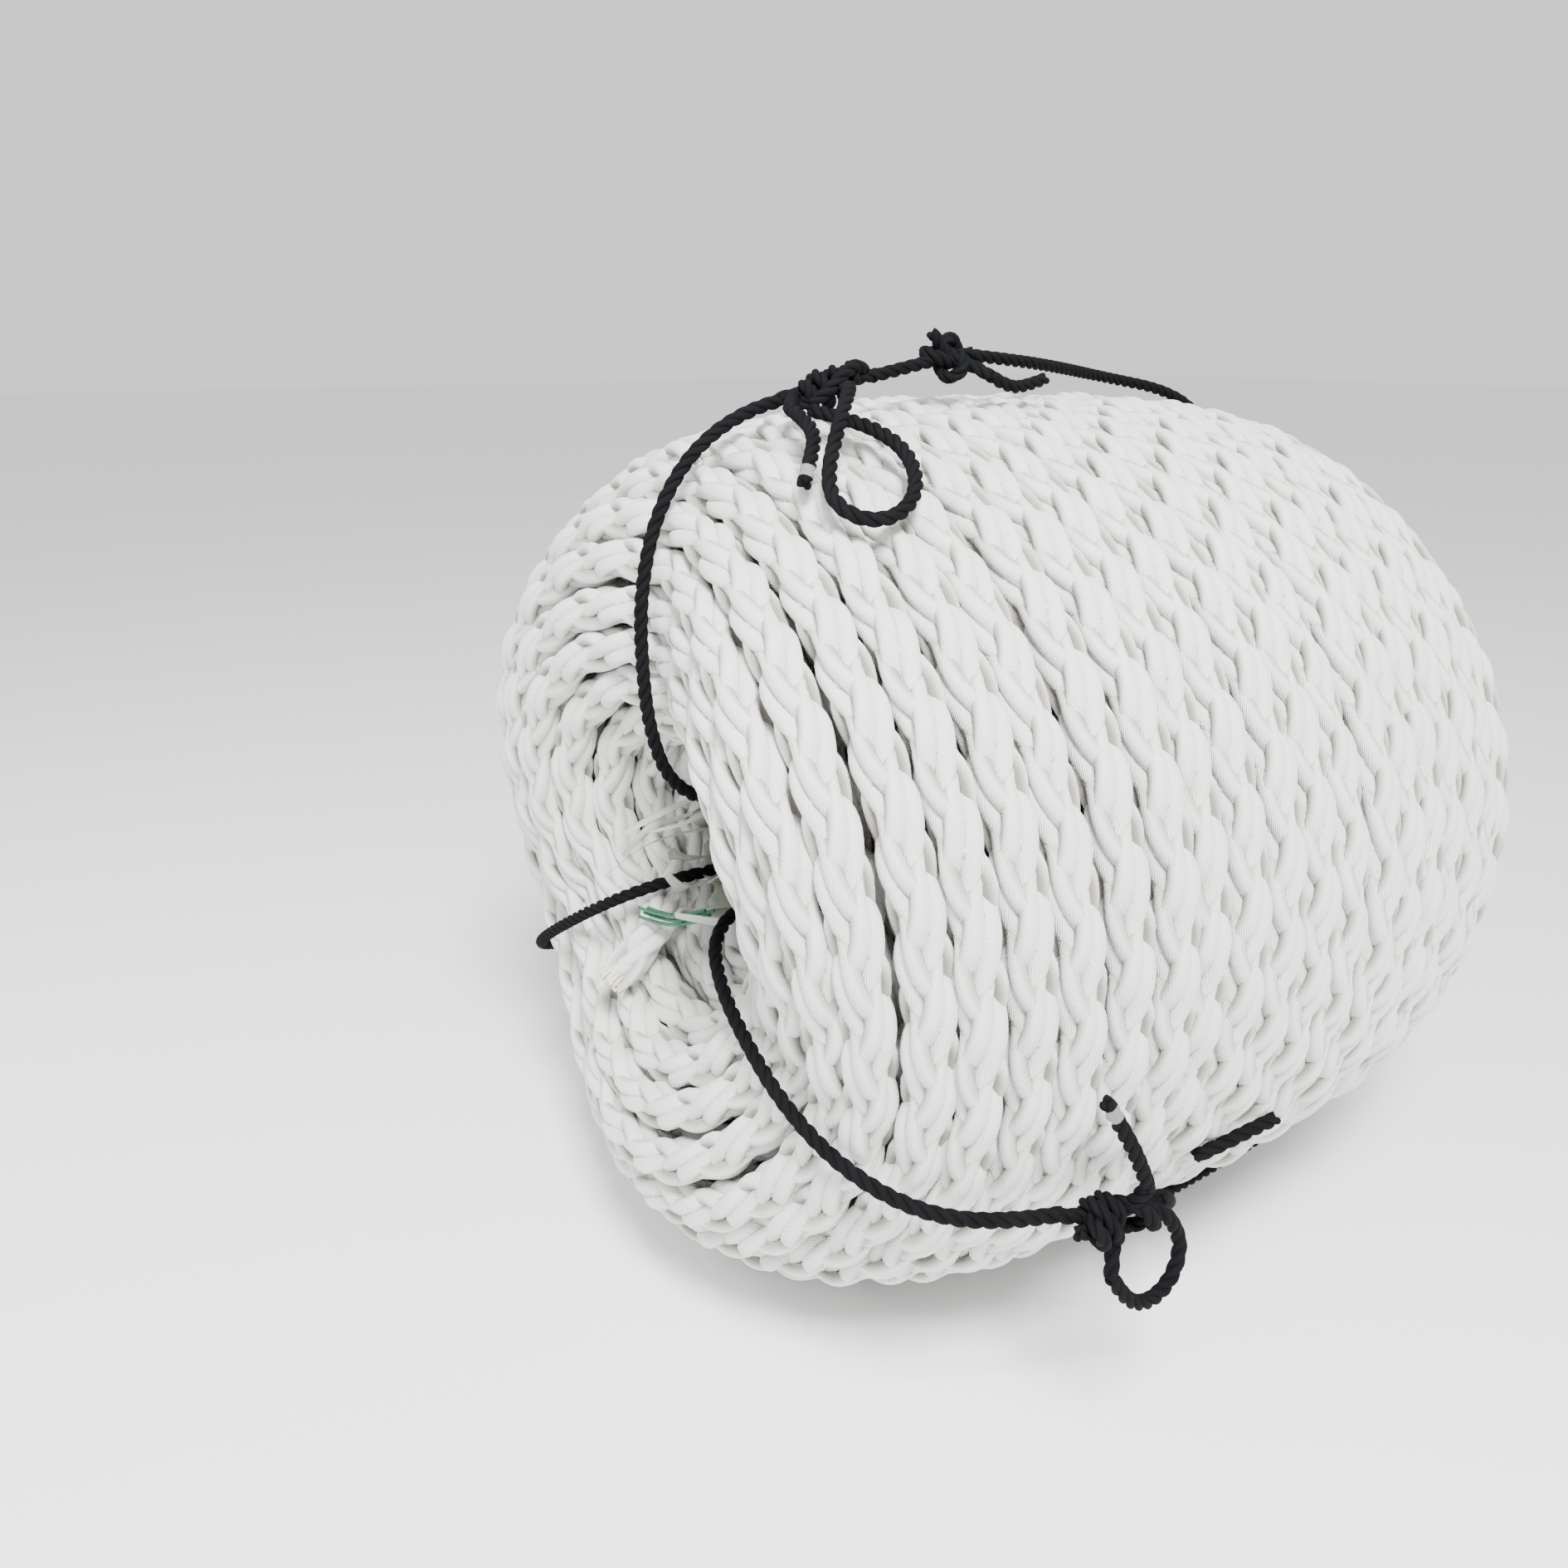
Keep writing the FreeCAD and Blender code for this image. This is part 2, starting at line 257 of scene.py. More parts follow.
def multiplied(tree, first, second):
    """The product of two colours."""
    mix = tree.nodes.new("ShaderNodeMix")
    mix.data_type = "RGBA"
    mix.blend_type = "MULTIPLY"
    mix.inputs["Factor"].default_value = 1.0
    tree.links.new(first, mix.inputs[6])
    tree.links.new(second, mix.inputs[7])
    return mix.outputs[2]


def painted_crease_shade(tree, colour):
    """The colour with painted shade: greyed where a strand's side turns in against its neighbour, into the
    shade of the crease.
    """
    _, round_it = yarn_place(tree)
    half = STRAND_GIRTH / 2.0
    from_top = math_node(tree, "ABSOLUTE", math_node(tree, "SUBTRACT", round_it, half), 0.0)
    # Painted shade: white on the strand's outer crown, warm grey on the sides turned in against its
    # neighbours.
    ramp = tree.nodes.new("ShaderNodeValToRGB")
    ramp.color_ramp.elements[0].position = 0.30
    ramp.color_ramp.elements[0].color = (1.0, 1.0, 1.0, 1.0)
    ramp.color_ramp.elements[1].position = 0.70
    ramp.color_ramp.elements[1].color = (0.36, 0.34, 0.30, 1.0)
    tree.links.new(math_node(tree, "DIVIDE", from_top, half), ramp.inputs[0])
    return multiplied(tree, colour, ramp.outputs["Color"])


def strand_material(name, lean):
    """White filament yarn with a satin sheen, twisted one way or the other; its colour carries painted shade
    in the creases between strands and in the yarn grooves.
    """
    material, shader = new_material(name, (0.90, 0.90, 0.89), 0.42)
    tree = material.node_tree
    ridges = yarn_height(tree, lean, 0.0020)
    patches = noise_factor(tree, 9.0, 4.0)
    clean = mixed_colour(tree, patches, (0.80, 0.795, 0.775), (0.90, 0.90, 0.893))
    # Painted shade in the grooves between the yarn ridges: the colour darkens there, besides the bump.
    yarn_groove_shade = mixed_colour(tree, ridges, (0.66, 0.655, 0.64), (1.0, 1.0, 1.0))
    tree.links.new(multiplied(tree, painted_crease_shade(tree, clean), yarn_groove_shade), shader.inputs["Base Color"])
    rough = math_node(tree, "ADD", math_node(tree, "MULTIPLY", patches, 0.18), 0.34)
    tree.links.new(rough, shader.inputs["Roughness"])
    bumped(tree, shader, ridges, 0.0011, 0.7)
    shader.inputs["Sheen Weight"].default_value = 0.25
    shader.inputs["Sheen Roughness"].default_value = 0.4
    return material


def tie_material():
    """Charcoal laid cord, matt, with fine yarns."""
    material, shader = new_material("charcoal_cord", (0.010, 0.010, 0.012), 0.62)
    tree = material.node_tree
    ridges = yarn_height(tree, LAID_YARN_LEAN, 0.0016)
    patches = noise_factor(tree, 30.0, 3.0)
    tree.links.new(mixed_colour(tree, patches, (0.0025, 0.0025, 0.003), (0.0075, 0.0078, 0.009)),
                   shader.inputs["Base Color"])
    rough = math_node(tree, "ADD", math_node(tree, "MULTIPLY", patches, 0.2), 0.68)
    tree.links.new(rough, shader.inputs["Roughness"])
    bumped(tree, shader, ridges, 0.0006, 0.6)
    shader.inputs["Specular IOR Level"].default_value = 0.06
    return material


def tape_material():
    """Clear crinkled tape: mostly see-through, with sharp highlights."""
    material, shader = new_material("clear_tape", (0.80, 0.82, 0.82), 0.12)
    tree = material.node_tree
    crinkle = noise_factor(tree, 160.0, 3.0)
    tree.links.new(math_node(tree, "ADD", math_node(tree, "MULTIPLY", crinkle, 0.2), 0.06),
                   shader.inputs["Roughness"])
    bumped(tree, shader, crinkle, 0.0012, 0.7)
    shader.inputs["Alpha"].default_value = 0.13
    shader.inputs["Coat Weight"].default_value = 0.6
    return material


def film_material():
    """Thin grey-green film, cloudy and creased."""
    material, shader = new_material("grey_green_film", (0.42, 0.47, 0.40), 0.3)
    tree = material.node_tree
    cloud = noise_factor(tree, 28.0, 5.0)
    tree.links.new(mixed_colour(tree, cloud, (0.30, 0.34, 0.28), (0.62, 0.66, 0.58)),
                   shader.inputs["Base Color"])
    tree.links.new(math_node(tree, "ADD", math_node(tree, "MULTIPLY", cloud, 0.3), 0.14),
                   shader.inputs["Roughness"])
    bumped(tree, shader, noise_factor(tree, 90.0, 4.0), 0.002, 0.8)
    shader.inputs["Alpha"].default_value = 0.72
    return material


def twine_material():
    """Bright green twine with a shine."""
    material, shader = new_material("green_twine", (0.02, 0.15, 0.06), 0.3)
    tree = material.node_tree
    patches = noise_factor(tree, 60.0, 3.0)
    tree.links.new(mixed_colour(tree, patches, (0.008, 0.07, 0.035), (0.03, 0.20, 0.09)),
                   shader.inputs["Base Color"])
    tree.links.new(math_node(tree, "ADD", math_node(tree, "MULTIPLY", patches, 0.2), 0.2),
                   shader.inputs["Roughness"])
    bumped(tree, shader, yarn_height(tree, LAID_YARN_LEAN, 0.0011), 0.0004, 0.6)
    return material


def cut_yarn_material():
    """Yarn ends where the rope was cut: yellowed and matt."""
    material, shader = new_material("cut_yarn", (0.80, 0.74, 0.56), 0.7)
    tree = material.node_tree
    patches = noise_factor(tree, 120.0, 3.0)
    tree.links.new(mixed_colour(tree, patches, (0.62, 0.53, 0.34), (0.92, 0.89, 0.78)),
                   shader.inputs["Base Color"])
    tree.links.new(math_node(tree, "ADD", math_node(tree, "MULTIPLY", patches, 0.2), 0.6),
                   shader.inputs["Roughness"])
    bumped(tree, shader, yarn_height(tree, 0.0, 0.0012), 0.0004, 0.6)
    return material


# ---------------------------------------------------------------- how the rope is wound
# Turns in each layer, from the hole outwards.  The two ends of each layer and the whole first and last
# layer make a ring of turns that touch each other all round the section.
LAYER_TURNS = [17, 17, 18, 18, 19, 18, 18, 17, 17]
LAST_LAYER = len(LAYER_TURNS) - 1
RING_TURNS = LAYER_TURNS[0] + LAYER_TURNS[-1] + 2 * (LAST_LAYER - 1)
# The turns inside the ring are pushed apart so many times, each time by a share of their overlap, towards
# a spacing a little over the rope's diameter.
PUSH_ROUNDS = 400
PUSH_SHARE = 0.25
PUSH_SPACING = 1.01


def section_limits(section):
    """Of the rope's middle in a section: least and greatest distance from the axis, and half length."""
    inset = ROPE_DIAMETER / 2
    return HOLE_RADIUS + inset, section["radius"] - inset, section["length"] / 2 - inset


def section_ring(section):
    """The centres of the ring's turns as (x, distance from the axis), evenly spaced round the section."""
    inner, outer, half_length = section_limits(section)
    turn = np.linspace(0.0, 2.0 * math.pi, 4001)
    power = 2.0 / section["roundness"]
    x = half_length * signed_power(np.sin(turn), power)
    distance = (outer + inner) / 2 + (outer - inner) / 2 * signed_power(np.cos(turn), power)
    outline = np.stack([x, distance, np.zeros_like(x)], axis=1)
    along = lengths_along(outline)

    def place(number):
        wanted = (number / RING_TURNS % 1.0) * along[-1]
        return at_lengths(outline, along, np.array([wanted]))[0, :2]

    return place


def section_places(section):
    """The centre of every turn, layer by layer: the ring is fixed and the rest settle between its turns."""
    place = section_ring(section)
    inner, outer, half_length = section_limits(section)
    middle = (outer + inner) / 2
    power = section["roundness"]
    half_layer = (LAYER_TURNS[-1] - 1) / 2.0
    inner_first = half_layer + LAST_LAYER - 1 + LAYER_TURNS[0]
    places = []
    free = []
    for layer, turns in enumerate(LAYER_TURNS):
        for turn in range(turns):
            u = 2.0 * turn / (turns - 1) - 1.0
            v = 2.0 * layer / LAST_LAYER - 1.0
            on_ring = layer in (0, LAST_LAYER) or turn in (0, turns - 1)
            if layer == LAST_LAYER:
                spot = place(turn - half_layer)
            elif layer == 0:
                spot = place(inner_first - turn)
            elif turn == 0:
                spot = place(inner_first + layer)
            elif turn == turns - 1:
                spot = place(half_layer + LAST_LAYER - layer)
            else:
                x = half_length * u * (1.0 - abs(v) ** power / 2) ** (1 / power)
                w = v * (1.0 - abs(u) ** power / 2) ** (1 / power)
                spot = (x, middle + (outer - inner) / 2 * w)
            places.append(spot)
            free.append(not on_ring)
    places = np.array(places)
    free = np.array(free)
    for _ in range(PUSH_ROUNDS):
        gap = places[:, None, :] - places[None, :, :]
        apart = np.linalg.norm(gap, axis=2)
        np.fill_diagonal(apart, 1.0)
        overlap = np.maximum(ROPE_DIAMETER * PUSH_SPACING - apart, 0.0)
        push = (gap / apart[:, :, None] * overlap[:, :, None]).sum(axis=1)
        places[free] += PUSH_SHARE * push[free]
    return places


def in_winding_order(places):
    """Layers wound to and fro: the even ones towards +X and the odd ones back."""
    order = []
    start = 0
    for layer, turns in enumerate(LAYER_TURNS):
        row = list(range(start, start + turns))
        order += row if layer % 2 == 0 else row[::-1]
        start += turns
    return places[order]


def seen_turns():
    """True for each turn, in winding order, that lies in the ring."""
    flags = []
    for layer, turns in enumerate(LAYER_TURNS):
        for turn in range(turns):
            flags.append(layer in (0, LAST_LAYER) or turn in (0, turns - 1))
    return in_winding_order(np.array(flags))


def lobe_share(angle, x):
    """0 where a tie crosses at x, rising to 1 midway between two ties."""
    stops = np.sort(np.stack([tie_angle(tie, x) for tie in TIES], axis=-1), axis=-1)
    share = np.zeros_like(angle)
    for number in range(len(TIES)):
        low = stops[..., number]
        high = stops[..., number + 1] if number + 1 < len(TIES) else stops[..., 0] + 360.0
        turned = (angle - low) % 360.0
        inside = turned <= high - low
        share = np.where(inside, np.sin(math.pi * turned / (high - low)), share)
    return share


POINTS_PER_TURN = 24
SPLINE_SHRINK = 0.9915             # how far out the spline runs, as a share of its control points' distance
STEP_OVER = (170.0, 280.0)         # where, low at the back, a turn steps over to the next one's place
FIRST_ANGLE = 245.0
LAST_ANGLE = 270.0
FLOOR_GAP = 0.0285                 # the lowest a rope's middle lies above the floor
TURN_COUNT = sum(LAYER_TURNS)
# How far the turns wander along the axis and away from it, and over how many degrees.
WANDER_ALONG = ((0.0055, 75.0), (0.003, 31.0))
WANDER_OUT = (0.0045, 62.0)


def coil_route():
    """Control points of the whole rope, from its inner end to its outer end."""
    at_tie = in_winding_order(section_places(SECTION_AT_TIE))
    at_lobe = in_winding_order(section_places(SECTION_AT_LOBE))
    last = 360.0 * TURN_COUNT + LAST_ANGLE
    angle = np.arange(FIRST_ANGLE, last, 360.0 / POINTS_PER_TURN)
    turned = (angle - STEP_OVER[0]) % 360.0
    turn = np.floor((angle - STEP_OVER[0]) / 360.0).astype(int)
    step = smooth_step(turned / (STEP_OVER[1] - STEP_OVER[0]))
    before = np.clip(turn - 1, 0, TURN_COUNT - 1)
    after = np.clip(turn, 0, TURN_COUNT - 1)
    from_share = lobe_share(angle, at_tie[before, 0])[:, None]
    to_share = lobe_share(angle, at_tie[after, 0])[:, None]
    from_place = at_tie[before] + (at_lobe[before] - at_tie[before]) * from_share
    to_place = at_tie[after] + (at_lobe[after] - at_tie[after]) * to_share
    place = from_place + (to_place - from_place) * step[:, None]
    rng = np.random.default_rng(11)
    x = place[:, 0]
    for reach, wavelength in WANDER_ALONG:
        x = x + reach * slow_noise(rng, angle, wavelength)
    distance = place[:, 1] + WANDER_OUT[0] * slow_noise(rng, angle, WANDER_OUT[1])
    distance = distance / SPLINE_SHRINK
    turned = np.radians(angle)
    y = -distance * np.sin(turned)
    z = AXIS_HEIGHT + distance * np.cos(turned)
    softness = 0.004
    z = FLOOR_GAP + softness * np.logaddexp(0.0, (z - FLOOR_GAP) / softness)
    winding = np.stack([x, y, z], axis=1)
    inner_end = [(-0.520, 0.078, 0.372), (-0.484, 0.074, 0.398), (-0.446, 0.084, 0.432)]
    outer_end = [(0.382, 0.486, 0.610), (0.428, 0.480, 0.678), (0.475, 0.484, 0.742)]
    return np.concatenate([inner_end, winding, outer_end])


# ---------------------------------------------------------------- the plaited rope
# Two pairs of strands go one way round and two pairs the other.  Across the rope each pair's middle
# moves on a narrow ellipse: far out while it passes over a crossing pair, close in while it passes under.
LAY = 0.186                        # along the rope, one full turn of a pair
PAIR_REACH = 0.0169                # the ellipse's long half axis
PAIR_SWAY = 0.0063                 # its short half axis
PAIR_HALF_GAP = 0.0088             # from the pair's middle to each of its two strands
STRAND_SIDES = 10
FINE_STEP = 0.009
HIDDEN_STEP = 0.026
ROPE_SECTIONS = 6
END_SQUEEZE = 0.12                 # how much the tape narrows the rope at its two ends
SQUEEZED_LENGTH = 0.09
YARN_LEAN = 35.0                   # degrees by which the yarns lean from a strand's own direction
INNER_END_LENGTH = 0.14            # about how far from the cut inner end the winding starts
TWIST_WANDER = 18.0                # degrees by which the plait's face wanders, and over what length
TWIST_WAVELENGTH = 1.3
TURNED_TO_SIDE = 45.0              # degrees by which the plait's face leans from straight outwards

YARN_ENDS = 90
YARN_END_RADIUS = 0.0019
YARN_END_ROOT = 0.012              # how far inside the rope's end they start
YARN_END_REACH = 0.014             # their least length, and by how much it varies
YARN_END_UNEVEN = 0.009
YARN_END_SPREAD = 0.22             # how much the outermost fan out, and how much each leans by chance
YARN_END_LEAN = 0.10
CUT_RADIUS = 0.0195
GOLDEN_TURN = 2.39996              # radians, which spreads points evenly over a disc
TAPE_ROWS = 9
TAPE_COLUMNS = 36
TAPE_CRINKLE = 0.022
TAPE_THICKNESS = 0.0006
TAPE_FROM_END = 0.008
ROPE_TAPE_LENGTH = 0.040
ROPE_TAPE_RADIUS = 0.0232


def rope_samples(line):
    """Distances along the rope: close together on the turns that show."""
    along = lengths_along(line)
    seen = seen_turns()
    angle = np.degrees(np.unwrap(np.arctan2(-line[:, 1], line[:, 2] - AXIS_HEIGHT)))
    angle += FIRST_ANGLE - angle[np.searchsorted(along, INNER_END_LENGTH)]
    turn = np.clip(np.floor((angle - STEP_OVER[0]) / 360.0).astype(int), 0, TURN_COUNT - 1)
    shows = seen[turn] | seen[np.maximum(turn - 1, 0)]
    density = np.where(shows, 1.0 / FINE_STEP, 1.0 / HIDDEN_STEP)
    count = np.concatenate([[0.0], np.cumsum(np.diff(along) * density[1:])])
    return np.interp(np.arange(0.0, math.floor(count[-1]) + 1.0), count, along)


def rope_frame(line):
    """Samples along the rope: places, distances, and the two directions across it."""
    along = lengths_along(line)
    wanted = rope_samples(line)
    centres = at_lengths(line, along, wanted)
    tangents = unit(np.gradient(centres, wanted, axis=0))
    outward = centres * np.array([0.0, 1.0, 1.0]) - np.array([0.0, 0.0, AXIS_HEIGHT])
    outward = unit(outward - (outward * tangents).sum(1, keepdims=True) * tangents)
    sideways = np.cross(tangents, outward)
    rng = np.random.default_rng(5)
    twist = np.radians(TURNED_TO_SIDE + TWIST_WANDER * slow_noise(rng, wanted, TWIST_WAVELENGTH))[:, None]
    return (centres, wanted, outward * np.cos(twist) + sideways * np.sin(twist),
            sideways * np.cos(twist) - outward * np.sin(twist))


def squeezed(rope, first, last):
    """How wide the rope is along a part of it, as a share of its full width."""
    along = rope[1]
    to_end = np.minimum(along, along[-1] - along)[first:last]
    return 1.0 - END_SQUEEZE * (1.0 - smooth_step(to_end / SQUEEZED_LENGTH))


def strand_tube(name, rope, first, last, sense, pair, side, material):
    """One strand of the plait along part of the rope.  Sense is +1 or -1, the way its pair goes round;
    pair is 0 or 1, and side is -1 or +1, its place in the pair."""
    centres, along, outward, sideways = (part[first:last] for part in rope)
    far_angle = math.radians(90.0 + sense * 45.0)
    far = math.cos(far_angle) * outward + math.sin(far_angle) * sideways
    near = sense * (math.cos(far_angle) * sideways - math.sin(far_angle) * outward)
    turn = (2.0 * math.pi * along / LAY - far_angle + math.pi * pair)[:, None]
    width = squeezed(rope, first, last)
    sway = PAIR_REACH * np.cos(turn) * far + PAIR_SWAY * np.sin(turn) * near
    middle = centres + width[:, None] * sway
    out = unit(middle - centres)
    heading = unit(np.gradient(middle, along, axis=0))
    across = unit(np.cross(heading, out))
    out = np.cross(across, heading)
    rng = np.random.default_rng(first + 10 * (sense + 1) + 4 * pair + side + 1)
    plump = width * (1.0 + 0.05 * slow_noise(rng, along, 0.21))
    places = middle + side * PAIR_HALF_GAP * width[:, None] * across
    tube = tube_arrays(places, across, out, STRAND_HALF_WIDTH * plump,
                       STRAND_HALF_THICKNESS * plump, STRAND_SIDES)
    return mesh_object(name, [tube], material)


def straight_frame(centres):
    """Two directions across each point of a line that hardly bends."""
    heading = unit(np.gradient(centres, axis=0))
    across = unit(np.cross(heading, SKEW))
    return across, np.cross(across, heading)


def cut_yarns(name, end, heading, seed, material):
    """The cut face of the rope: a bundle of short yarn ends of uneven length."""
    rng = np.random.default_rng(seed)
    heading = unit(np.array(heading, float))
    first = unit(np.cross(heading, (0.2, 0.5, 0.84)))
    second = np.cross(heading, first)
    tubes = []
    for number in range(YARN_ENDS):
        distance = CUT_RADIUS * math.sqrt((number + 0.5) / YARN_ENDS)
        turn = number * GOLDEN_TURN
        foot = end + distance * (math.cos(turn) * first + math.sin(turn) * second) - YARN_END_ROOT * heading
        spread = YARN_END_SPREAD * distance / CUT_RADIUS
        lean = spread * (math.cos(turn) * first + math.sin(turn) * second)
        lean = lean + rng.uniform(-YARN_END_LEAN, YARN_END_LEAN, 3)
        reach = YARN_END_REACH + rng.uniform(0.0, YARN_END_UNEVEN)
        steps = np.linspace(0.0, 1.0, 5)[:, None]
        centres = foot + steps * reach * heading + steps ** 2 * reach * lean
        across, out = straight_frame(centres)
        size = np.full(len(centres), YARN_END_RADIUS) * (1.0 - 0.3 * steps[:, 0] ** 2)
        tubes.append(tube_arrays(centres, across, out, size, size, 6))
    made = mesh_object(name, tubes, material)
    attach(made, "root")
    return made


def shell_object(name, grid, thickness, material):
    """A thin closed shell on a grid of points whose columns go round and meet."""
    rows, columns = grid.shape[:2]
    lengthways = np.gradient(grid, axis=0)
    round_it = np.roll(grid, -1, axis=1) - np.roll(grid, 1, axis=1)
    inner = grid - thickness * unit(np.cross(round_it, lengthways))
    verts = np.concatenate([grid.reshape(-1, 3), inner.reshape(-1, 3)])
    here = np.arange(columns)
    after = (here + 1) % columns
    row = np.arange(rows - 1)[:, None] * columns
    outside = np.stack([row + here, row + after, row + columns + after, row + columns + here], axis=-1)
    outside = outside.reshape(-1, 4)
    inside = outside[:, ::-1] + rows * columns
    low = np.stack([here, here + rows * columns, after + rows * columns, after], axis=1)
    high = low[:, ::-1] + (rows - 1) * columns
    mesh = bpy.data.meshes.new(name)
    mesh.from_pydata(verts.tolist(), [], np.concatenate([outside, inside, low, high]).tolist())
    mesh.polygons.foreach_set("use_smooth", np.ones(len(mesh.polygons), bool))
    mesh.update()
    mesh.materials.append(material)
    made = bpy.data.objects.new(name, mesh)
    bpy.context.scene.collection.objects.link(made)
    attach(made, "root")
    return made


def tape_wrap(node, centres, radius, seed, material):
    """Clear tape wound round a line: a crinkled sleeve that replaces the tape's node."""
    rng = np.random.default_rng(seed)
    along = lengths_along(centres)
    line = at_lengths(centres, along, np.linspace(0.0, along[-1], TAPE_ROWS))
    across, out = straight_frame(line)
    turn = 2.0 * math.pi * np.arange(TAPE_COLUMNS) / TAPE_COLUMNS
    crinkle = 1.0 + TAPE_CRINKLE * rng.uniform(-1.0, 1.0, (TAPE_ROWS, TAPE_COLUMNS))
    crinkle += TAPE_CRINKLE * np.sin(5.0 * turn)[None, :]
    ring = across[:, None, :] * np.cos(turn)[None, :, None] + out[:, None, :] * np.sin(turn)[None, :, None]
    grid = line[:, None, :] + radius * crinkle[:, :, None] * ring
    wrap = shell_object(node + "_wrap", grid, TAPE_THICKNESS, material)
    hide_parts(node)
    return wrap


def build_rope(end_tape):
    """The whole rope as eight strands in each of six lengths, one after another."""
    line = spline_line(coil_route(), 10)
    rope = rope_frame(line)
    along = rope[1]
    materials = {1: strand_material("white_strand_right", YARN_LEAN),
                 -1: strand_material("white_strand_left", -YARN_LEAN)}
    cuts = [int(np.searchsorted(along, along[-1] * part / ROPE_SECTIONS)) for part in range(ROPE_SECTIONS)]
    cuts.append(len(along) - 1)
    yarns = cut_yarn_material()
    tape_from = int(np.searchsorted(along, TAPE_FROM_END))
    tape_to = int(np.searchsorted(along, TAPE_FROM_END + ROPE_TAPE_LENGTH))
    ends = {
        1: [cut_yarns("rope_inner_end_yarns", rope[0][0], rope[0][0] - rope[0][2], 21, yarns),
            tape_wrap("rope_inner_end_tape", rope[0][tape_from:tape_to + 1], ROPE_TAPE_RADIUS, 23, end_tape)],
        ROPE_SECTIONS: [
            cut_yarns("rope_outer_end_yarns", rope[0][-1], rope[0][-1] - rope[0][-3], 22, yarns),
            tape_wrap("rope_outer_end_tape", rope[0][-tape_to - 2:-tape_from - 1], ROPE_TAPE_RADIUS, 24,
                      end_tape)]}
    for number, (first, last) in enumerate(zip(cuts, cuts[1:]), start=1):
        strands = []
        for sense in (1, -1):
            for pair, side in ((0, -1), (0, 1), (1, -1), (1, 1)):
                name = "rope_part_%d_strand_%d" % (number, len(strands) + 1)
                strand = strand_tube(name, rope, first, last + 1, sense, pair, side, materials[sense])
                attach(strand, "root")
                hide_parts("rope_coil", "rope_inner_end", "rope_outer_end")
                strands.append(strand)
    print("rope length %.1f m, %d samples" % (along[-1], len(along)))


# ---------------------------------------------------------------- laid tie cords
TIE_LAY = 0.048
TIE_STRANDS = 3
TIE_STRAND_MIDDLE = 0.265          # of the cord's diameter, from its middle line to a strand's
TIE_STRAND_RADIUS = 0.245          # of the cord's diameter
TIE_STRAND_WIDENING = 1.08
TIE_STEP = 0.003
TIE_SIDES = 8
TAIL_TAPE_LENGTH = 0.017
TAIL_END_BARE = 0.004
TAIL_TAPE_RADIUS = 0.0090


def laid_tubes(points, diameter):
    """The three strands of a laid cord along a route, with the line that it follows."""
    line = spline_line(points, 16)
    along = lengths_along(line)
    wanted = np.linspace(0.0, along[-1], max(4, int(along[-1] / TIE_STEP)))
    centres = at_lengths(line, along, wanted)
    tangents = unit(np.gradient(centres, axis=0))
    side = np.cross(tangents[0], SKEW)
    sides_of = [unit(side)]
    for after in tangents[1:]:
        side = sides_of[-1] - after * float(np.dot(sides_of[-1], after))
        sides_of.append(unit(side))
    first = np.array(sides_of)
    second = np.cross(tangents, first)
    middle = diameter * TIE_STRAND_MIDDLE
    radius = diameter * TIE_STRAND_RADIUS
    lay = TIE_LAY * diameter / TIE_DIAMETER
    parts = []
    for number in range(TIE_STRANDS):
        turn = 2.0 * math.pi * (wanted / lay + number / TIE_STRANDS)
        out = first * np.cos(turn)[:, None] + second * np.sin(turn)[:, None]
        places = centres + out * middle
        heading = unit(np.gradient(places, axis=0))
        across = unit(np.cross(heading, out))
        size = np.full(len(places), radius)
        parts.append(tube_arrays(places, across, np.cross(across, heading), size * TIE_STRAND_WIDENING,
                                size, TIE_SIDES))
    return parts, centres


def laid_piece(name, routes, material, diameter=TIE_DIAMETER):
    """One mesh of laid cord along one or more routes, with the line of the last one."""
    parts = []
    for points in routes:
        tubes, centres = laid_tubes(points, diameter)
        parts += tubes
    whole = mesh_object(name, parts, material)
    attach(whole, "root")
    return whole, centres


def metres(points):
    """Route points given in millimetres, in metres."""
    return [tuple(value / 1000.0 for value in point) for point in points]


# One end of the coil, from the flank over the rim, down the end face and into the hole, as
# (distance from the middle of the coil, distance from the axis).
END_BEND = [(0.395, 0.541), (0.464, 0.497), (0.505, 0.427), (0.520, 0.345), (0.517, 0.264),
            (0.506, 0.184), (0.478, 0.112), (0.410, 0.072)]


def tie_route(tie, first, last):
    """A tie's route: from its knot over one end, through the hole, over the other end and back."""
    left = [(-x, distance) for x, distance in END_BEND]
    right = list(reversed(END_BEND))
    return [around(tie_angle(tie, x), x, distance) for x, distance in first + left + right + last]


